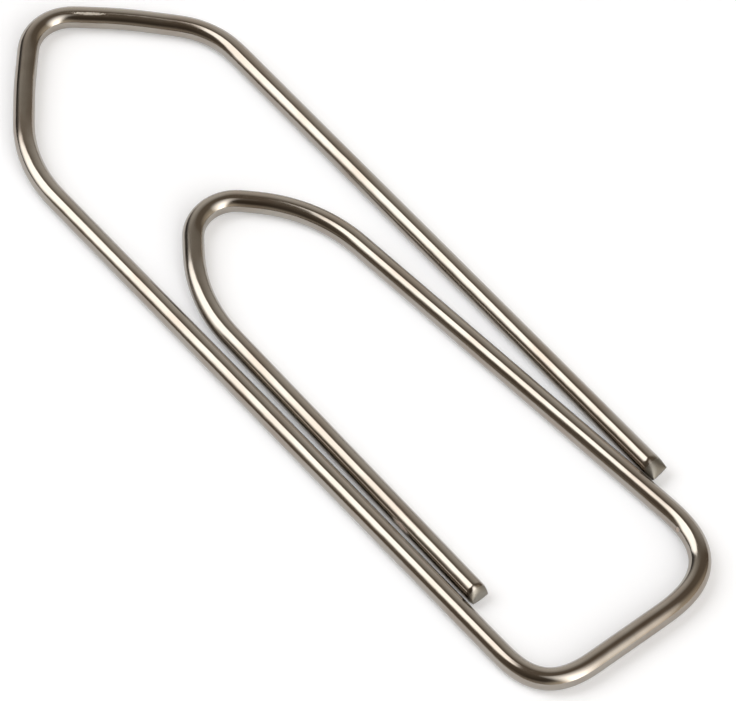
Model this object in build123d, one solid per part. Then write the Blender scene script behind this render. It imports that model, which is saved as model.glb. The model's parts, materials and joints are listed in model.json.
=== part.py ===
from build123d import *
from math import asin, atan2, cos, pi, radians, sin, tan
import os

# A pointed paper clip: one drawn steel wire bent into two nested loops that lie in one plane.
# It is divided into four spans at the three straight bars that twist when the clip is opened.
# X runs from the crossbar to the point, Y from the outer free leg to the long leg, Z up from the table.
# Sizes are in millimetres, and bend radii are those of the wire's middle line.

# The whole clip
LENGTH = 50.0  # outside of the crossbar to outside of the point
WIDTH = 14.45  # over the two outer legs
WIRE_D = 1.18  # plating included

# The point of the outer loop
POINT_LENGTH_FREE = 6.75  # outer free leg's shoulder corner to outside of the point
POINT_LENGTH_LONG = 7.0  # long leg's shoulder corner to outside of the point
TIP_RADIUS = 2.3
TIP_OFFSET = 0.14  # from the middle of the clip towards the long leg
BAR_BOW_FREE = 0.2  # outward bow of the bar on the free leg's side
BAR_BOW_LONG = 0.1  # outward bow of the bar on the long leg's side
BAR_BOW_RADIUS = 25.0
SHOULDER_RADIUS_FREE = 5.2
SHOULDER_RADIUS_LONG = 8.0

# The outer legs and the crossbar
OUTER_END_SETBACK = 6.85  # outside of the crossbar to the outer free end
OUTER_LEG_TOE_IN = 0.19  # free end nearer the middle than its shoulder
CROSSBAR_SKEW = 0.29  # long leg's corner ahead of the tongue's corner
LONG_CORNER_RADIUS = 2.7
TONGUE_CORNER_RADIUS = 3.4

# The tongue
TONGUE_LENGTH = 35.0  # outside of the crossbar to outside of the nose
NOSE_LENGTH_LEG = 4.2  # tongue leg's shoulder corner to outside of the nose
NOSE_LENGTH_FREE = 4.6  # tongue free leg's shoulder corner to outside of the nose
NOSE_RADIUS = 2.25
NOSE_OFFSET = 0.12  # from the middle of the tongue's shoulders towards the long leg
NOSE_SHOULDER_RADIUS_LEG = 9.0
NOSE_SHOULDER_RADIUS_FREE = 9.0
INNER_END_SETBACK = 7.25  # outside of the crossbar to the tongue's free end

# Clear spaces between wires that lie side by side
OUTER_END_GAP = 0.02  # outer free end to the tongue leg
INNER_END_GAP = 0.14  # tongue's free end to the long leg
NOSE_GAP_LONG = 0.41  # tongue free leg's shoulder corner to the long leg
NOSE_GAP_FREE = 1.96  # tongue leg's shoulder corner to the outer free leg

# Nipped wire ends: an upper and an under bevel that meet in a ridge across the wire
OUTER_RIDGE_HEIGHT = 0.69  # above the table
OUTER_RIDGE_SKEW = 8.0  # degrees from square across
OUTER_BEVEL_LENGTH = 0.75  # upper bevel, along the wire
INNER_RIDGE_HEIGHT = 0.4
INNER_RIDGE_SKEW = 0.0
INNER_BEVEL_LENGTH = 0.42
UNDER_BEVEL_LENGTH = 0.35  # of both ends

WIRE_R = WIRE_D / 2
BACK = -LENGTH / 2
FRONT = LENGTH / 2
LEG_Y = WIDTH / 2 - WIRE_R


def on_wire(x, y):
    """A point of the wire's middle line, which lies one wire radius above the table."""
    return Vector(x, y, WIRE_R)


def heading(start, end):
    """Direction from one point to another in the plane of the clip, in radians."""
    return atan2(end.Y - start.Y, end.X - start.X)


def along(angle):
    """Unit vector at an angle in the plane of the clip."""
    return Vector(cos(angle), sin(angle), 0)


def grazing(start, centre, radius, side):
    """Heading of the line that touches a circle and leaves it on its left (-1) or right (+1)."""
    return heading(start, centre) + side * asin(radius / (centre - start).length)


def crossing(first, first_angle, second, second_angle):
    """Point where two lines cross, each given by a point and a heading."""
    between = second - first
    turn = sin(second_angle - first_angle)
    reach = (between.X * sin(second_angle) - between.Y * cos(second_angle)) / turn
    return first + along(first_angle) * reach


def bowed(start, end, bow):
    """Middle of a bar, pushed out to the right of its heading by its bow."""
    return (start + end) / 2 + along(heading(start, end) - pi / 2) * bow


def outer_corners():
    """Corners of the outer loop, from its free end round the point to the crossbar."""
    free_end = on_wire(BACK + OUTER_END_SETBACK, OUTER_LEG_TOE_IN - LEG_Y)
    free_shoulder = on_wire(FRONT - POINT_LENGTH_FREE, -LEG_Y)
    long_shoulder = on_wire(FRONT - POINT_LENGTH_LONG, LEG_Y)
    long_corner = on_wire(BACK + WIRE_R + CROSSBAR_SKEW, LEG_Y)

    # The tip's bend ends at the overall length, and each bar is a tangent to it.
    tip_centre = on_wire(FRONT - WIRE_R - TIP_RADIUS, TIP_OFFSET)
    straight_tip = point_corner(free_shoulder, long_shoulder, tip_centre, TIP_RADIUS)
    free_bow = bowed(free_shoulder, straight_tip, BAR_BOW_FREE)
    long_bow = bowed(straight_tip, long_shoulder, BAR_BOW_LONG)
    tip = point_corner(free_bow, long_bow, tip_centre, TIP_RADIUS)
    return [free_end, free_shoulder, free_bow, tip, long_bow, long_shoulder, long_corner]


def point_corner(right, left, centre, radius):
    """Corner of two bars that run forward from their ends and hold a round bend between them."""
    right_angle = grazing(right, centre, radius, -1)
    left_angle = grazing(left, centre, radius, 1)
    return crossing(right, right_angle, left, left_angle)


def tongue_corners(outer_free_end, long_corner):
    """Corners of the tongue, from the crossbar round the nose to the tongue's free end."""
    nose_front = BACK + TONGUE_LENGTH
    leg_shoulder = on_wire(nose_front - NOSE_LENGTH_LEG, WIRE_D + NOSE_GAP_FREE - LEG_Y)
    free_shoulder = on_wire(nose_front - NOSE_LENGTH_FREE, LEG_Y - WIRE_D - NOSE_GAP_LONG)
    middle = (leg_shoulder.Y + free_shoulder.Y) / 2
    nose_centre = on_wire(nose_front - WIRE_R - NOSE_RADIUS, middle + NOSE_OFFSET)
    nose = point_corner(leg_shoulder, free_shoulder, nose_centre, NOSE_RADIUS)
    free_end = on_wire(BACK + INNER_END_SETBACK, LEG_Y - WIRE_D - INNER_END_GAP)

    # The tongue leg passes the outer free end with its clear space, and then turns into the crossbar.
    leg_angle = grazing(leg_shoulder, outer_free_end, WIRE_D + OUTER_END_GAP, -1)
    bend_x = BACK + WIRE_R + TONGUE_CORNER_RADIUS
    leg_y = leg_shoulder.Y + (bend_x - leg_shoulder.X) * tan(leg_angle)
    bend_centre = on_wire(bend_x, leg_y - TONGUE_CORNER_RADIUS / cos(leg_angle))
    bar_angle = grazing(long_corner, bend_centre, TONGUE_CORNER_RADIUS, -1)
    corner = crossing(long_corner, bar_angle, leg_shoulder, leg_angle)
    return [corner, leg_shoulder, nose, free_shoulder, free_end]


def bend_length(corners, radii, i):
    """Length that the bend at a corner takes from each of the two runs beside it."""
    turn = (corners[i] - corners[i - 1]).get_angle(corners[i + 1] - corners[i])
    return radii[i] * tan(radians(turn) / 2)


def mid_run(corners, radii, i):
    """Middle of the straight stretch between a corner's bend and the next one's."""
    run = corners[i + 1] - corners[i]
    start = bend_length(corners, radii, i)
    stop = run.length - bend_length(corners, radii, i + 1)
    return corners[i] + run.normalized() * ((start + stop) / 2)


def bent_wire(points, radii):
    """Round wire along straight runs that are joined by tangent bends."""
    path = FilletPolyline(*points, radius=radii)
    section = Plane(origin=path @ 0, z_dir=path % 0) * Circle(WIRE_R)
    return sweep(section, path=path)


def nipped(wire, end, leg, ridge_height, ridge_skew, bevel_length):
    """The same wire with its end nipped off: two bevels that meet in a ridge."""
    inward = heading(end, leg)
    ridge = Vector(end.X, end.Y, ridge_height)
    across = along(inward + pi / 2 + radians(ridge_skew))
    rise = along(inward) * bevel_length + Vector(0, 0, WIRE_D - ridge_height)
    fall = along(inward) * UNDER_BEVEL_LENGTH - Vector(0, 0, ridge_height)
    for outward in (rise.cross(across), across.cross(fall)):
        wire = split(wire, bisect_by=Plane(origin=ridge, z_dir=outward), keep=Keep.BOTTOM)
    return wire


# The corners in the order of the wire, with a bend radius at each of them but the two ends
outer = outer_corners()
tongue = tongue_corners(outer[0], outer[-1])
corners = outer + tongue
radii = [0, SHOULDER_RADIUS_FREE, BAR_BOW_RADIUS, TIP_RADIUS, BAR_BOW_RADIUS, SHOULDER_RADIUS_LONG,
         LONG_CORNER_RADIUS, TONGUE_CORNER_RADIUS, NOSE_SHOULDER_RADIUS_LEG, NOSE_RADIUS,
         NOSE_SHOULDER_RADIUS_FREE, 0]

# The bars that twist, by the corner that each of them starts from
FREE_POINT_BAR = 1
CROSSBAR = 6
FREE_NOSE_BAR = 9
twisting_bars = {"outer_free_leg": FREE_POINT_BAR, "tongue": CROSSBAR, "tongue_free_leg": FREE_NOSE_BAR}
cuts = {name: mid_run(corners, radii, i) for name, i in twisting_bars.items()}


def overlong(end, leg):
    """Place one wire radius past a free end, so that the nip cuts the whole wire."""
    return end + along(heading(leg, end)) * WIRE_R


def span(first, last, start=None, end=None):
    """Wire round the corners from first to last, with its cut places added."""
    points = uncut[first:last + 1]
    if start is not None:
        points = [start] + points
    if end is not None:
        points = points + [end]
    bends = radii[first:last + 1]
    return bent_wire(points, [r for r in bends if r > 0])


LAST = len(corners) - 1
uncut = [overlong(corners[0], corners[1])] + corners[1:LAST] + [overlong(corners[LAST], corners[LAST - 1])]
spans = {
    "outer_free_leg": span(0, FREE_POINT_BAR, end=cuts["outer_free_leg"]),
    "outer_loop": span(FREE_POINT_BAR + 1, CROSSBAR, start=cuts["outer_free_leg"], end=cuts["tongue"]),
    "tongue": span(CROSSBAR + 1, FREE_NOSE_BAR, start=cuts["tongue"], end=cuts["tongue_free_leg"]),
    "tongue_free_leg": span(FREE_NOSE_BAR + 1, LAST, start=cuts["tongue_free_leg"]),
}
spans["outer_free_leg"] = nipped(spans["outer_free_leg"], corners[0], corners[1],
                                 OUTER_RIDGE_HEIGHT, OUTER_RIDGE_SKEW, OUTER_BEVEL_LENGTH)
spans["tongue_free_leg"] = nipped(spans["tongue_free_leg"], corners[LAST], corners[LAST - 1],
                                  INNER_RIDGE_HEIGHT, INNER_RIDGE_SKEW, INNER_BEVEL_LENGTH)

os.makedirs("parts", exist_ok=True)
for name, solid in spans.items():
    solid.label = name
    export_step(solid, f"parts/{name}.step")

for name, i in twisting_bars.items():
    direction = along(heading(corners[i], corners[i + 1]))
    print(f"{name} twists at {cuts[name]} along {direction}")
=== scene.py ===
import bmesh
import bpy
import cmath
import json
from collections import namedtuple
from math import asin, cos, pi, radians, sin, tan
from mathutils import Matrix, Vector


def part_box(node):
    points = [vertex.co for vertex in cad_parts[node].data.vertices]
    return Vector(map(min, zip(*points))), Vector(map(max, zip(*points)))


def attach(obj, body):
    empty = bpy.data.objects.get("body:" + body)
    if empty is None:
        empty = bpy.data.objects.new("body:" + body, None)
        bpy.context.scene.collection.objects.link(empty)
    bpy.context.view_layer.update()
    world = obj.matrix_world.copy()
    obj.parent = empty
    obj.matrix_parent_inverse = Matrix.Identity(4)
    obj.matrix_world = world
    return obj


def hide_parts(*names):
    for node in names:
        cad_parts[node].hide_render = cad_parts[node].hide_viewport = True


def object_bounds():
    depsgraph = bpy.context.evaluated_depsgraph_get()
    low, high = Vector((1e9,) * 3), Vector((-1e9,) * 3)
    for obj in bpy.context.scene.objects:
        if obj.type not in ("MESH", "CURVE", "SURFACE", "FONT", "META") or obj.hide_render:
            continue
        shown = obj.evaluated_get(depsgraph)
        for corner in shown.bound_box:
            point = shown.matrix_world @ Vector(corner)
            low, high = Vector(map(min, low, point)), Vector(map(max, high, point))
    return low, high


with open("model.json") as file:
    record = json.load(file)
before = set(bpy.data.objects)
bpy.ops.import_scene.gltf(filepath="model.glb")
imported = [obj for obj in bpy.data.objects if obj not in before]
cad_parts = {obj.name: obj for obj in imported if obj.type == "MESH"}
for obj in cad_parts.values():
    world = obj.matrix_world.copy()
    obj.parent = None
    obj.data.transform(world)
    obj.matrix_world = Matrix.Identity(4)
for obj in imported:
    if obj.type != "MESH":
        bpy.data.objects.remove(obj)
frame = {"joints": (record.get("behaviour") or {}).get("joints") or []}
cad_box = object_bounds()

# A pointed paper clip of nickel-plated wire, lying on a white floor.
# Each span of the wire follows the CAD model's middle line, with bends that come and go gradually,
# and rides its own body.
# Sizes are in millimetres. A place in the plane of the clip is a complex number, x + y * 1j.

MM = 0.001

# Sizes that the frame gives
LOW = cad_box[0] / MM
HIGH = cad_box[1] / MM
WIRE_R = (HIGH.z - LOW.z) / 2
WIRE_D = 2 * WIRE_R
MIDDLE_Z = LOW.z + WIRE_R
BACK = LOW.x
FRONT = HIGH.x
LEG_Y = HIGH.y - WIRE_R
NOSE_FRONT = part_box("tongue")[1].x / MM

# The point of the outer loop; bend radii are those of the wire's middle line
POINT_LENGTH_FREE = 6.75  # outer free leg's shoulder corner to outside of the point
POINT_LENGTH_LONG = 7.0  # long leg's shoulder corner to outside of the point
TIP_RADIUS = 2.3
TIP_OFFSET = 0.14  # from the middle of the clip towards the long leg
BAR_BOW_FREE = 0.2  # outward bow of the bar on the free leg's side
BAR_BOW_LONG = 0.1  # outward bow of the bar on the long leg's side
BAR_BOW_RADIUS = 25.0
SHOULDER_RADIUS_FREE = 5.2
SHOULDER_RADIUS_LONG = 8.0

# The outer legs and the crossbar
OUTER_END_SETBACK = 6.85  # outside of the crossbar to the outer free end
OUTER_LEG_TOE_IN = 0.19  # free end nearer the middle than its shoulder
CROSSBAR_SKEW = 0.29  # long leg's corner ahead of the tongue's corner
LONG_CORNER_RADIUS = 2.7
TONGUE_CORNER_RADIUS = 3.4

# The tongue
NOSE_LENGTH_LEG = 4.2  # tongue leg's shoulder corner to outside of the nose
NOSE_LENGTH_FREE = 4.6  # tongue free leg's shoulder corner to outside of the nose
NOSE_RADIUS = 2.25
NOSE_OFFSET = 0.12  # from the middle of the tongue's shoulders towards the long leg
NOSE_SHOULDER_RADIUS_LEG = 9.0
NOSE_SHOULDER_RADIUS_FREE = 9.0
INNER_END_SETBACK = 7.25  # outside of the crossbar to the tongue's free end

# Clear spaces
OUTER_END_GAP = 0.02  # outer free end to the tongue leg
INNER_END_GAP = 0.14  # tongue's free end to the long leg
NOSE_GAP_LONG = 0.41  # tongue free leg's shoulder corner to the long leg
NOSE_GAP_FREE = 1.96  # tongue leg's shoulder corner to the outer free leg
SEAM = 0.0005  # end of a span to the division between it and the next

# Bends, whose curve comes and goes gradually
BEND_EASE = 0.9  # of the bend's arc
ROOM_USED = 0.9  # of the straight wire beside the bend, at most

# Nipped ends: two bevels that meet in a ridge, with the edges that the nip rolled over
Nip = namedtuple("Nip", "ridge_height ridge_skew bevel_length fullness")
OUTER_NIP = Nip(ridge_height=0.69, ridge_skew=radians(8), bevel_length=0.9, fullness=1.4)
INNER_NIP = Nip(ridge_height=0.4, ridge_skew=0.0, bevel_length=0.55, fullness=1.7)
UNDER_BEVEL_LENGTH = 0.35
RIDGE_THICKNESS = 0.05
RIDGE_NARROWING = 0.16  # of the wire's width
BEVEL_FLATNESS = 0.45
NIP_REACH = 1.2  # bevel lengths

# Mesh steps
SIDES = 64
RUN_STEP = 0.6
BEND_STEP = 0.2
LEAST_HALF_BEND = 4  # steps
NIP_RINGS = 24
WELD = 0.0005
SHARP_EDGE = radians(60)

# Finish of the wire, of its cut ends and of the places where the plating is worn, and a painted highlight
# near the tip
PLATING = (0.35, 0.322, 0.285, 1)
STAIN = (0.315, 0.275, 0.235, 1)
ROUGHNESS = 0.09
LINE_ROUGHNESS = 0.06  # added by the drawing lines
CUT = (0.25, 0.235, 0.205, 1)
CUT_ROUGHNESS = 0.4
WORN = (0.5, 0.41, 0.35, 1)
WORN_ROUGHNESS = 0.55
WORN_METALLIC = 0.35
# Painted highlight: a brighter, smoother patch of plating colour that stands in for the highlight streak
# near the tip
PAINTED_HIGHLIGHT = (0.72, 0.67, 0.6, 1)
PAINTED_HIGHLIGHT_ROUGHNESS = 0.3
WAVE_DEPTH = 0.008
LINE_DEPTH = 0.0025
WEAR_DEPTH = 0.02

# Noise over the straight wire: waves in a millimetre along, across and up, then detail
STAIN_NOISE = ((0.35, 1.1, 1.1), 3)
WAVE_NOISE = ((0.9, 0.9, 0.9), 1)
LINE_NOISE = ((0.2, 11, 11), 2)
RAGGED_NOISE = ((7, 12, 12), 2)

# Measures between which a mask goes from none to full
STAIN_EDGE = (0.4, 0.7)
LINE_EDGE = (0.3, 0.7)
CUT_EDGE = (0.03, 0.22)
WEAR_AND_HIGHLIGHT_EDGE = (1.6, 1.1)

# Worn places, and the painted highlight near the tip; a centre is its distance along the straight wire,
# across and up
Spot = namedtuple("Spot", "centre length width")
NICK = Spot(Vector((109.3, -0.526, 0.267)), length=0.16, width=0.12)
SCUFF = Spot(Vector((165.3, 0.53, 0.26)), length=0.7, width=0.15)
# Place of the painted highlight streak near the tip, on the wire's upper side
PAINTED_HIGHLIGHT_SPOT = Spot(Vector((43.0, -0.157, 0.569)), length=1.0, width=0.09)

# Camera, which sees the clip as the photograph does
CAMERA_AZIMUTH = radians(230)
CAMERA_ELEVATION = radians(57.4)
CAMERA_DISTANCE = 283.6
CAMERA_LENS = 267.4
CAMERA_SENSOR = 36
CAMERA_CLIP = 10.0
LOOKED_AT = Vector((-2.777, 0.165, 0.6))

# A lamp's fade: the shares of its length and width that are measured, where light starts and is full
Fade = namedtuple("Fade", "along across start full")

# Soft lamps, which lean from the zenith by degrees to the right and away from the camera
LAMP_DISTANCE = 600.0
LEFT_LEAN = (-45, 7.5)
LEFT_TURN = radians(10)
LEFT_LENGTH = 1140.0
LEFT_WIDTH = 546.0
LEFT_RADIANCE = 3.1
LEFT_FADES = (Fade(1, -0.35, -0.04, 0.06), Fade(1, 1.4, 0.32, 0.5), Fade(0, 1, 0.857, 0.679),
              Fade(0, 1, 0.0, 0.143), Fade(1, 0, 0.95, 0.6))
FRONT_LEAN = (30, -36.4)
FRONT_TURN = 0.0
FRONT_LENGTH = 1140.0
FRONT_WIDTH = 550.0
FRONT_RADIANCE = 3.8
FRONT_FADES = (Fade(1, 0, -0.16, 0.67), Fade(0, 1, 1.1, 0.45), Fade(0, 1, 0.05, 0.45))

# Colours of the room and the floor
ROOM_FRONT = (0.08, 0.062, 0.045, 1)
ROOM_ABOVE = (0.21, 0.17, 0.13, 1)
WALL_LOW = (0.42, 0.385, 0.34, 1)
WALL_MIDDLE = (0.78, 0.74, 0.69, 1)
WALL_TOP = (1.0, 0.96, 0.91, 1)
SIDE = (0.6, 0.54, 0.44, 1)
HORIZON = (0.32, 0.29, 0.25, 1)
SHADED = (0.15, 0.15, 0.15, 1)
WHITE = (1, 1, 1, 1)
NO_LIGHT = (0, 0, 0, 1)
FLOOR_WHITE = (0.915, 0.94, 0.98, 1)
FLOOR_GLOW = 0.15
FLOOR_SIZE = 4000.0

# The room's light: axes to the right, away and up, and colours by how far a direction points along one
DEPTH_AXIS = (-0.09, 0.99, 0)
DEPTH_STOPS = ((-0.65, ROOM_FRONT), (0, ROOM_ABOVE), (0.46, ROOM_ABOVE),
               (0.59, WALL_LOW), (0.8, WALL_MIDDLE), (1, WALL_TOP))
SHADE_AXIS = (-0.86, 0.51, 0)
SHADE_STOPS = ((0.8, WHITE), (0.95, SHADED))
SIDE_AXIS = (0.8, -0.6, 0)
SIDE_STOPS = ((0.45, NO_LIGHT), (0.9, SIDE))
HORIZON_AXIS = (0, -0.45, -0.89)
HORIZON_STOPS = ((-0.1, NO_LIGHT), (0.2, HORIZON))

# Sockets of the mix node by what it mixes: its two inputs and its result
MIX_SOCKETS = {"FLOAT": (2, 3, 0), "RGBA": (6, 7, 2)}


def heading(start, end):
    """Direction from one place to another, in radians."""
    return cmath.phase(end - start)


def grazing(start, centre, radius, side):
    """Heading of the line that touches a circle and leaves it on its left (-1) or right (+1)."""
    return heading(start, centre) + side * asin(radius / abs(centre - start))


def crossing(first, first_heading, second, second_heading):
    """Place where two lines cross, each given by a place and a heading."""
    between = (second - first) * cmath.rect(1, -first_heading)
    reach = between.real - between.imag / tan(second_heading - first_heading)
    return first + cmath.rect(reach, first_heading)


def bowed(start, end, bow):
    """Middle of a bar, pushed out to the right of its heading by its bow."""
    return (start + end) / 2 + cmath.rect(bow, heading(start, end) - pi / 2)


def point_corner(right, left, centre, radius):
    """Corner of two bars that run forward from their ends and hold a round bend between them."""
    right_heading = grazing(right, centre, radius, -1)
    left_heading = grazing(left, centre, radius, 1)
    return crossing(right, right_heading, left, left_heading)


def outer_corners():
    """Corners of the outer loop with their bend radii, from its free end to the crossbar."""
    free_end = complex(BACK + OUTER_END_SETBACK, OUTER_LEG_TOE_IN - LEG_Y)
    free_shoulder = complex(FRONT - POINT_LENGTH_FREE, -LEG_Y)
    long_shoulder = complex(FRONT - POINT_LENGTH_LONG, LEG_Y)
    long_corner = complex(BACK + WIRE_R + CROSSBAR_SKEW, LEG_Y)

    # The tip's bend ends at the overall length, and each bar is a tangent to it.
    tip_centre = complex(FRONT - WIRE_R - TIP_RADIUS, TIP_OFFSET)
    straight_tip = point_corner(free_shoulder, long_shoulder, tip_centre, TIP_RADIUS)
    free_bow = bowed(free_shoulder, straight_tip, BAR_BOW_FREE)
    long_bow = bowed(straight_tip, long_shoulder, BAR_BOW_LONG)
    tip = point_corner(free_bow, long_bow, tip_centre, TIP_RADIUS)
    return [(free_end, 0), (free_shoulder, SHOULDER_RADIUS_FREE), (free_bow, BAR_BOW_RADIUS),
            (tip, TIP_RADIUS), (long_bow, BAR_BOW_RADIUS), (long_shoulder, SHOULDER_RADIUS_LONG),
            (long_corner, LONG_CORNER_RADIUS)]


def tongue_corners(outer_free_end, long_corner):
    """Corners of the tongue with their bend radii, from the crossbar to its free end."""
    leg_shoulder = complex(NOSE_FRONT - NOSE_LENGTH_LEG, WIRE_D + NOSE_GAP_FREE - LEG_Y)
    free_shoulder = complex(NOSE_FRONT - NOSE_LENGTH_FREE, LEG_Y - WIRE_D - NOSE_GAP_LONG)
    middle = (leg_shoulder.imag + free_shoulder.imag) / 2
    nose_centre = complex(NOSE_FRONT - WIRE_R - NOSE_RADIUS, middle + NOSE_OFFSET)
    nose = point_corner(leg_shoulder, free_shoulder, nose_centre, NOSE_RADIUS)
    free_end = complex(BACK + INNER_END_SETBACK, LEG_Y - WIRE_D - INNER_END_GAP)

    # The tongue leg passes the outer free end with its clear space, and then turns into the crossbar.
    leg_heading = grazing(leg_shoulder, outer_free_end, WIRE_D + OUTER_END_GAP, -1)
    bend_x = BACK + WIRE_R + TONGUE_CORNER_RADIUS
    leg_y = leg_shoulder.imag + (bend_x - leg_shoulder.real) * tan(leg_heading)
    bend_centre = complex(bend_x, leg_y - TONGUE_CORNER_RADIUS / cos(leg_heading))
    bar_heading = grazing(long_corner, bend_centre, TONGUE_CORNER_RADIUS, -1)
    corner = crossing(long_corner, bar_heading, leg_shoulder, leg_heading)
    return [(corner, TONGUE_CORNER_RADIUS), (leg_shoulder, NOSE_SHOULDER_RADIUS_LEG),
            (nose, NOSE_RADIUS), (free_shoulder, NOSE_SHOULDER_RADIUS_FREE), (free_end, 0)]


def division(joint_name):
    """Place where two spans meet, which is on the axis of the joint between them, with no bend."""
    joint = next(j for j in frame["joints"] if j["name"] == joint_name)
    x, y = joint["pos_m"][:2]
    return (complex(x, y) / MM, 0)


def wire_spans():
    """The spans of the wire in its order, each a list of places with their bend radii."""
    outer = outer_corners()
    tongue = tongue_corners(outer[0][0], outer[-1][0])
    point_bar = division("outer_free_leg_flex")
    crossbar = division("tongue_lift")
    nose_bar = division("tongue_free_leg_flex")
    return {
        "outer_free_leg": outer[:2] + [point_bar],
        "outer_loop": [point_bar] + outer[2:] + [crossbar],
        "tongue": [crossbar] + tongue[:3] + [nose_bar],
        "tongue_free_leg": [nose_bar] + tongue[3:],
    }


def straight_run(start, end):
    """Places along a straight stretch, without its last one."""
    steps = max(1, round(abs(end - start) / RUN_STEP))
    return [start + (end - start) * k / steps for k in range(steps)]


def turned(run, length, ease):
    """Angle after a run round a bend of radius 1, whose curve grows and fades over an ease."""
    if run < ease:
        return run * run / (2 * ease)
    if run > length - ease:
        return length - ease - turned(length - run, length, ease)
    return run - ease / 2


def bend(turn, radius, room):
    """Places and headings round a bend that starts at 0 with a heading of 0.

    Its curve comes and goes gradually, within the straight room beside it, and its middle lies
    where the plain arc of that radius has it.
    """
    arc = abs(turn)
    ease = min(BEND_EASE * arc, 2 * ROOM_USED * room / radius)
    length = arc + ease
    half = max(LEAST_HALF_BEND, round(length * radius / BEND_STEP / 2))
    step = length / half / 2
    side = 1 if turn > 0 else -1
    line = [(0j, 0.0)]
    for k in range(2 * half):
        middle = side * turned((k + 0.5) * step, length, ease)
        end = side * turned((k + 1) * step, length, ease)
        line.append((line[-1][0] + cmath.rect(step, middle), end))
    corner = abs(line[-1][0]) / (2 * cos(turn / 2))
    size = radius * (1 / cos(turn / 2) - 1) / abs(line[half][0] - corner)
    return [(place * size, angle) for place, angle in line]


def middle_line(span):
    """Places and headings along a span: straight runs joined by tangent bends."""
    places, radii = zip(*span)
    runs = [end - start for start, end in zip(places, places[1:])]
    turns = [0.0] + [cmath.phase(after / before) for before, after in zip(runs, runs[1:])] + [0.0]
    tangents = [radius * tan(abs(turn) / 2) for radius, turn in zip(radii, turns)]

    # Two bends share the straight room of the run between them, and the end runs have one bend each.
    rooms = [(abs(run) - before - after) / 2 for run, before, after in zip(runs, tangents, tangents[1:])]
    rooms[0] *= 2
    rooms[-1] *= 2

    line = []
    here = places[0]
    for i in range(1, len(span) - 1):
        entry = cmath.phase(runs[i - 1])
        round_corner = bend(turns[i], radii[i], min(rooms[i - 1], rooms[i]))
        reach = abs(round_corner[-1][0]) / (2 * cos(turns[i] / 2))
        bend_start = places[i] - cmath.rect(reach, entry)
        line += [(place, entry) for place in straight_run(here, bend_start)]
        for place, angle in round_corner[:-1]:
            line.append((bend_start + place * cmath.rect(1, entry), entry + angle))
        here = places[i] + cmath.rect(reach, entry + turns[i])
    leaving = cmath.phase(runs[-1])
    line += [(place, leaving) for place in straight_run(here, places[-1])]
    line.append((places[-1], leaving))
    return line


def skin_point(place, direction, across, up):
    """Point of the wire's skin, given by its offsets from the middle line."""
    flat = place + cmath.rect(across, direction - pi / 2)
    return Vector((flat.real, flat.imag, MIDDLE_Z + up))


def section():
    """Offsets across and up of the points round the wire."""
    angles = [2 * pi * k / SIDES for k in range(SIDES)]
    return [(WIRE_R * cos(angle), WIRE_R * sin(angle)) for angle in angles]


def whole_ring(place, direction):
    """Points round the wire at one place, each with its offsets across and up and no cut."""
    return [(skin_point(place, direction, across, up), across, up, 0.0) for across, up in section()]


def nip_reach(nip):
    """Length of wire that a nip shapes."""
    return NIP_REACH * nip.bevel_length


def squeeze(inset, bevel_length, fullness, depth):
    """Share of a depth that the nip leaves some way in from the ridge: a bevel that is rounded over."""
    missing = max(1 - inset / bevel_length, 0)
    return max((1 - missing ** fullness) ** (1 / fullness), RIDGE_THICKNESS / 2 / depth)


def nipped_ring(station, sense, inset, nip):
    """Ring of a nipped end at the wire's first (-1) or last (+1) station, some way in from the ridge."""
    end, direction = station
    ridge = nip.ridge_height - WIRE_R
    outward = cmath.rect(sense, direction)
    lean = sense * tan(nip.ridge_skew) * (1 - inset / nip_reach(nip))
    upper = squeeze(inset, nip.bevel_length, nip.fullness, WIRE_R - ridge)
    under = squeeze(inset, UNDER_BEVEL_LENGTH, nip.fullness, WIRE_R + ridge)
    slim = 1 - RIDGE_NARROWING * max(1 - inset / nip.bevel_length, 0) ** 2
    ring = []
    for across, up in section():
        share = upper if up > ridge else under
        depth = WIRE_R - ridge if up > ridge else -WIRE_R - ridge
        flattened = ((up - ridge) / depth) ** (1 - BEVEL_FLATNESS * (1 - share))
        nipped_up = ridge + depth * share * flattened
        nipped_across = across * slim
        place = end + outward * (lean * nipped_across - inset)
        point = skin_point(place, direction, nipped_across, nipped_up)
        ring.append((point, nipped_across, nipped_up, 1 - share))
    return ring


def nipped_end(station, sense, distance, nip):
    """Rings of a nipped end from its ridge inwards, each with its distance along the whole wire."""
    insets = [nip_reach(nip) * k / NIP_RINGS for k in range(NIP_RINGS + 1)]
    return [(distance - sense * inset, nipped_ring(station, sense, inset, nip)) for inset in insets]


def drawn_back(station, reach):
    """A station moved along the wire, so that two spans clear each other as they turn."""
    place, direction = station
    return (place + cmath.rect(reach, direction), direction)


def wire_rings(line, start, first_nip, last_nip):
    """Rings of points along a span with their distances along the whole wire, and the last distance."""
    if not first_nip:
        line[0] = drawn_back(line[0], SEAM)
    if not last_nip:
        line[-1] = drawn_back(line[-1], -SEAM)

    # A nipped end brings its own rings, so the whole ones stop where it starts.
    first_reach = nip_reach(first_nip) if first_nip else -1
    last_reach = nip_reach(last_nip) if last_nip else -1
    rings = []
    distance = start
    before = line[0][0]
    for place, direction in line:
        distance += abs(place - before)
        before = place
        if abs(place - line[0][0]) > first_reach and abs(place - line[-1][0]) > last_reach:
            rings.append((distance, whole_ring(place, direction)))
    if first_nip:
        rings = nipped_end(line[0], -1, start, first_nip) + rings
    if last_nip:
        rings = rings + nipped_end(line[-1], 1, distance, last_nip)[::-1]
    return rings, distance


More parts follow.
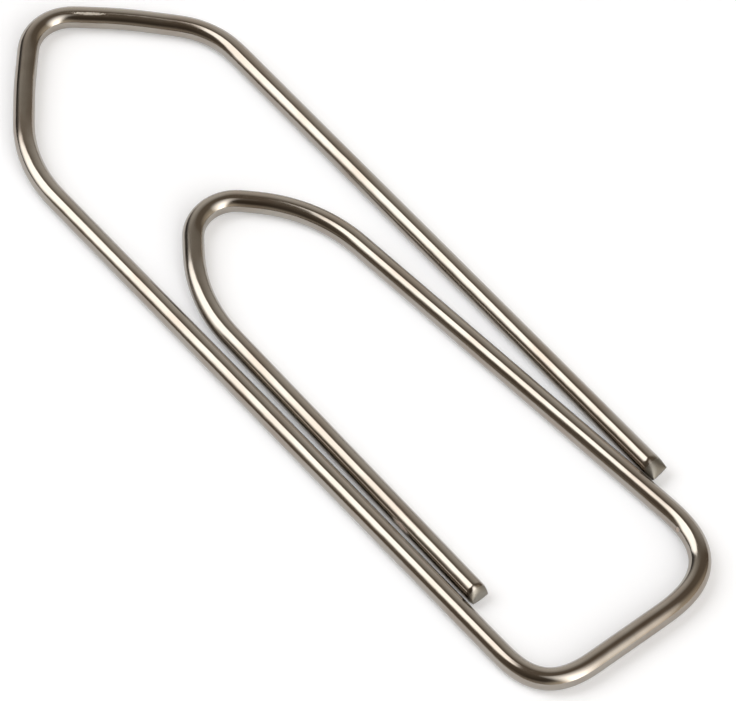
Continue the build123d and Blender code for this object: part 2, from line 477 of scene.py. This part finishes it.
def wire_mesh(name, rings):
    """A closed tube through rings of points, which keeps where each point was on the straight wire."""
    shape = bmesh.new()
    straight = shape.verts.layers.float_vector.new("straight_wire")
    nipped = shape.verts.layers.float.new("cut")
    loops = []
    for distance, ring in rings:
        loop = []
        for point, across, up, cut in ring:
            vertex = shape.verts.new(point * MM)
            vertex[straight] = (distance, across, up)
            vertex[nipped] = cut
            loop.append(vertex)
        loops.append(loop)
    for first, second in zip(loops, loops[1:]):
        for k in range(SIDES):
            n = (k + 1) % SIDES
            shape.faces.new((first[k], first[n], second[n], second[k]))
    shape.faces.new(loops[0])
    shape.faces.new(loops[-1])
    bmesh.ops.remove_doubles(shape, verts=shape.verts, dist=WELD * MM)
    bmesh.ops.recalc_face_normals(shape, faces=shape.faces)
    mesh = bpy.data.meshes.new(name)
    shape.to_mesh(mesh)
    shape.free()
    mesh.shade_smooth()
    mesh.set_sharp_from_angle(angle=SHARP_EDGE)
    return mesh


def add_node(tree, kind, **settings):
    """A new shader node with its settings."""
    made = tree.nodes.new(kind)
    for name, value in settings.items():
        setattr(made, name, value)
    return made


def set_input(tree, socket, value):
    """Links a socket to another one, or gives it a constant."""
    if isinstance(value, bpy.types.NodeSocket):
        tree.links.new(value, socket)
    else:
        socket.default_value = value


def worked(tree, operation, *values):
    """Result of a math operation on sockets and constants."""
    step = add_node(tree, "ShaderNodeMath", operation=operation)
    for socket, value in zip(step.inputs, values):
        set_input(tree, socket, value)
    return step.outputs[0]


def eased(tree, value, start, full, low=0.0, high=1.0):
    """A value eased from low to high as another one goes from start to full."""
    share = add_node(tree, "ShaderNodeMapRange", interpolation_type="SMOOTHSTEP")
    share.inputs["From Min"].default_value = start
    share.inputs["From Max"].default_value = full
    share.inputs["To Min"].default_value = low
    share.inputs["To Max"].default_value = high
    tree.links.new(value, share.inputs["Value"])
    return share.outputs["Result"]


def blended(tree, kind, share, first, second):
    """Colours or numbers mixed by a share; each of the two is a socket or a constant."""
    mix = add_node(tree, "ShaderNodeMix", data_type=kind)
    first_input, second_input, result = MIX_SOCKETS[kind]
    tree.links.new(share, mix.inputs[0])
    set_input(tree, mix.inputs[first_input], first)
    set_input(tree, mix.inputs[second_input], second)
    return mix.outputs[result]


def stretched_noise(tree, place, stretch, detail):
    """Noise over the straight wire, with so many waves in a millimetre along, across and up."""
    stretched = add_node(tree, "ShaderNodeVectorMath", operation="MULTIPLY")
    stretched.inputs[1].default_value = stretch
    noise = add_node(tree, "ShaderNodeTexNoise")
    noise.inputs["Scale"].default_value = 1.0
    noise.inputs["Detail"].default_value = detail
    tree.links.new(place, stretched.inputs[0])
    tree.links.new(stretched.outputs[0], noise.inputs["Vector"])
    return noise.outputs["Fac"]


def wear_and_highlight_spot(tree, place, ragged, spot):
    """Mask of a ragged spot on the straight wire, used for the worn places and for the painted highlight
    near the tip.
    """
    offset = add_node(tree, "ShaderNodeVectorMath", operation="SUBTRACT")
    offset.inputs[1].default_value = spot.centre
    shares = add_node(tree, "ShaderNodeVectorMath", operation="DIVIDE")
    shares.inputs[1].default_value = (spot.length, spot.width, spot.width)
    reach = add_node(tree, "ShaderNodeVectorMath", operation="LENGTH")
    tree.links.new(place, offset.inputs[0])
    tree.links.new(offset.outputs[0], shares.inputs[0])
    tree.links.new(shares.outputs[0], reach.inputs[0])
    edge = worked(tree, "ADD", reach.outputs["Value"], ragged)
    return eased(tree, edge, *WEAR_AND_HIGHLIGHT_EDGE)


def nickel_plating():
    """Bright nickel on drawn wire: faint lines along it, soft staining, worn spots, satin cut ends and a
    painted highlight near the tip.
    """
    material = bpy.data.materials.new("nickel_wire")
    material.use_nodes = True
    tree = material.node_tree
    shader = tree.nodes["Principled BSDF"]
    shader.inputs["Metallic"].default_value = 1.0
    shader.inputs["Base Color"].default_value = PLATING
    shader.inputs["Roughness"].default_value = ROUGHNESS
    place = add_node(tree, "ShaderNodeAttribute", attribute_name="straight_wire").outputs["Vector"]
    cut = add_node(tree, "ShaderNodeAttribute", attribute_name="cut").outputs["Fac"]
    stain = stretched_noise(tree, place, *STAIN_NOISE)
    waves = stretched_noise(tree, place, *WAVE_NOISE)
    lines = stretched_noise(tree, place, *LINE_NOISE)
    ragged = stretched_noise(tree, place, *RAGGED_NOISE)
    nick, scuff, painted_highlight = [wear_and_highlight_spot(tree, place, ragged, spot) for spot in (NICK, SCUFF, PAINTED_HIGHLIGHT_SPOT)]
    worn = worked(tree, "MAXIMUM", nick, scuff)
    is_cut = eased(tree, cut, *CUT_EDGE)

    colour = blended(tree, "RGBA", eased(tree, stain, *STAIN_EDGE), PLATING, STAIN)
    colour = blended(tree, "RGBA", worn, colour, WORN)
    # A brighter, smoother patch near the tip is a painted highlight streak
    colour = blended(tree, "RGBA", painted_highlight, colour, PAINTED_HIGHLIGHT)
    tree.links.new(blended(tree, "RGBA", is_cut, colour, CUT), shader.inputs["Base Color"])

    tree.links.new(blended(tree, "FLOAT", worn, 1.0, WORN_METALLIC), shader.inputs["Metallic"])

    roughness = eased(tree, lines, *LINE_EDGE, ROUGHNESS, ROUGHNESS + LINE_ROUGHNESS)
    roughness = blended(tree, "FLOAT", worn, roughness, WORN_ROUGHNESS)
    roughness = blended(tree, "FLOAT", painted_highlight, roughness, PAINTED_HIGHLIGHT_ROUGHNESS)
    tree.links.new(blended(tree, "FLOAT", is_cut, roughness, CUT_ROUGHNESS), shader.inputs["Roughness"])

    height = worked(tree, "MULTIPLY", waves, WAVE_DEPTH)
    height = worked(tree, "MULTIPLY_ADD", lines, LINE_DEPTH, height)
    height = worked(tree, "MULTIPLY_ADD", worn, -WEAR_DEPTH, height)
    bump = add_node(tree, "ShaderNodeBump")
    bump.inputs["Strength"].default_value = 1.0
    bump.inputs["Distance"].default_value = MM
    tree.links.new(height, bump.inputs["Height"])
    tree.links.new(bump.outputs["Normal"], shader.inputs["Normal"])
    return material


def white_floor():
    """Matte white floor that shows as white to the camera and in the metal, and keeps the shadow."""
    bpy.ops.mesh.primitive_plane_add(size=FLOOR_SIZE * MM)
    floor = bpy.context.object
    floor.name = "floor"
    material = bpy.data.materials.new("white_floor")
    material.use_nodes = True
    tree = material.node_tree
    shader = tree.nodes["Principled BSDF"]
    shader.inputs["Base Color"].default_value = FLOOR_WHITE
    shader.inputs["Roughness"].default_value = 1.0
    shader.inputs["Specular IOR Level"].default_value = 0.0
    shader.inputs["Emission Color"].default_value = WHITE
    rays = add_node(tree, "ShaderNodeLightPath").outputs
    mirrored = worked(tree, "ADD", rays["Is Glossy Ray"], rays["Is Transmission Ray"])
    seen = worked(tree, "ADD", rays["Is Camera Ray"], mirrored)
    tree.links.new(worked(tree, "MULTIPLY", seen, FLOOR_GLOW), shader.inputs["Emission Strength"])
    floor.data.materials.append(material)


def towards(right, away, up):
    """Direction given as the camera sees the floor: to the right, away from the camera, and up."""
    x = right * cos(CAMERA_AZIMUTH) - away * sin(CAMERA_AZIMUTH)
    y = right * sin(CAMERA_AZIMUTH) + away * cos(CAMERA_AZIMUTH)
    return Vector((x, y, up)).normalized()


def from_zenith(right, away):
    """Direction that leans from the zenith by some degrees to the right and away from the camera."""
    lean = complex(right, away)
    flat = lean / abs(lean) * sin(radians(abs(lean)))
    return towards(flat.real, flat.imag, cos(radians(abs(lean))))


def lamp_fade(tree, spot, fade):
    """Share of a lamp's light at a spot of its face, eased between two lines across the lamp."""
    measure = add_node(tree, "ShaderNodeVectorMath", operation="DOT_PRODUCT")
    measure.inputs[1].default_value = (fade.along, fade.across, 0)
    tree.links.new(spot, measure.inputs[0])
    return eased(tree, measure.outputs["Value"], fade.start, fade.full)


def softbox(name, direction, turn, length, width, radiance, fades):
    """Soft lamp that faces the clip, with its long side turned from the upright."""
    lamp = bpy.data.lights.new(name, "AREA")
    lamp.shape = "RECTANGLE"
    lamp.size = length * MM
    lamp.size_y = width * MM
    lamp.energy = radiance * pi * lamp.size * lamp.size_y
    lamp.use_nodes = True
    tree = lamp.node_tree
    spot = add_node(tree, "ShaderNodeNewGeometry").outputs["Parametric"]
    light = lamp_fade(tree, spot, fades[0])
    for fade in fades[1:]:
        light = worked(tree, "MULTIPLY", light, lamp_fade(tree, spot, fade))
    tree.links.new(light, tree.nodes["Emission"].inputs["Strength"])
    holder = bpy.data.objects.new(name, lamp)
    bpy.context.scene.collection.objects.link(holder)
    holder.location = direction * LAMP_DISTANCE * MM
    level = Vector((0, 0, 1)).cross(direction).normalized()
    steep = Matrix.Rotation(turn, 3, direction) @ level.cross(direction)
    holder.rotation_euler = Matrix((steep, direction.cross(steep), direction)).transposed().to_euler()


def room_ramp(tree, axis, stops):
    """Colour that changes with how far a direction of the room points along an axis, from -1 to 1."""
    place = add_node(tree, "ShaderNodeTexCoord")
    share = add_node(tree, "ShaderNodeVectorMath", operation="DOT_PRODUCT")
    share.inputs[1].default_value = towards(*axis)
    whole = add_node(tree, "ShaderNodeMapRange")
    whole.inputs["From Min"].default_value = -1
    ramp = add_node(tree, "ShaderNodeValToRGB")
    elements = ramp.color_ramp.elements
    while len(elements) < len(stops):
        elements.new(0.5)
    for element, (position, colour) in zip(elements, stops):
        element.position = (position + 1) / 2
        element.color = colour
    tree.links.new(place.outputs["Generated"], share.inputs[0])
    tree.links.new(share.outputs["Value"], whole.inputs["Value"])
    tree.links.new(whole.outputs["Result"], ramp.inputs["Fac"])
    return ramp.outputs["Color"]


def room_light(tree, colour, strength=None):
    """Light of the room in a colour that changes with direction, and in a strength that may too."""
    light = add_node(tree, "ShaderNodeBackground")
    tree.links.new(colour, light.inputs["Color"])
    if strength is not None:
        tree.links.new(strength, light.inputs["Strength"])
    return light.outputs[0]


def room():
    """Dim warm room: a grey wall behind the clip, a dark left side, a paler right side and horizon."""
    world = bpy.data.worlds.new("room")
    bpy.context.scene.world = world
    world.use_nodes = True
    tree = world.node_tree
    depth = room_ramp(tree, DEPTH_AXIS, DEPTH_STOPS)
    shade = room_ramp(tree, SHADE_AXIS, SHADE_STOPS)
    side = room_ramp(tree, SIDE_AXIS, SIDE_STOPS)
    horizon = room_ramp(tree, HORIZON_AXIS, HORIZON_STOPS)
    whole = room_light(tree, depth, shade)
    for light in (room_light(tree, side), room_light(tree, horizon)):
        both = add_node(tree, "ShaderNodeAddShader")
        tree.links.new(whole, both.inputs[0])
        tree.links.new(light, both.inputs[1])
        whole = both.outputs[0]
    tree.links.new(whole, tree.nodes["World Output"].inputs["Surface"])


def camera():
    """Camera where the photograph was taken from."""
    data = bpy.data.cameras.new("camera")
    data.lens = CAMERA_LENS
    data.sensor_width = CAMERA_SENSOR
    data.clip_start = CAMERA_CLIP * MM
    holder = bpy.data.objects.new("camera", data)
    bpy.context.scene.collection.objects.link(holder)
    back = towards(0, -cos(CAMERA_ELEVATION), sin(CAMERA_ELEVATION))
    holder.location = (LOOKED_AT + back * CAMERA_DISTANCE) * MM
    holder.rotation_euler = (-back).to_track_quat("-Z", "Y").to_euler()
    bpy.context.scene.camera = holder


plating = nickel_plating()
first_nips = {"outer_free_leg": OUTER_NIP}
last_nips = {"tongue_free_leg": INNER_NIP}
distance = 0.0
for node, span in wire_spans().items():
    rings, distance = wire_rings(middle_line(span), distance, first_nips.get(node), last_nips.get(node))
    name = node + "_wire"
    piece = bpy.data.objects.new(name, wire_mesh(name, rings))
    bpy.context.scene.collection.objects.link(piece)
    piece.data.materials.append(plating)
    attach(piece, node)
    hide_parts(node)

white_floor()
softbox("left_softbox", from_zenith(*LEFT_LEAN), LEFT_TURN,
        LEFT_LENGTH, LEFT_WIDTH, LEFT_RADIANCE, LEFT_FADES)
softbox("front_softbox", from_zenith(*FRONT_LEAN), FRONT_TURN,
        FRONT_LENGTH, FRONT_WIDTH, FRONT_RADIANCE, FRONT_FADES)
room()
camera()
bpy.context.scene.view_settings.view_transform = "Standard"
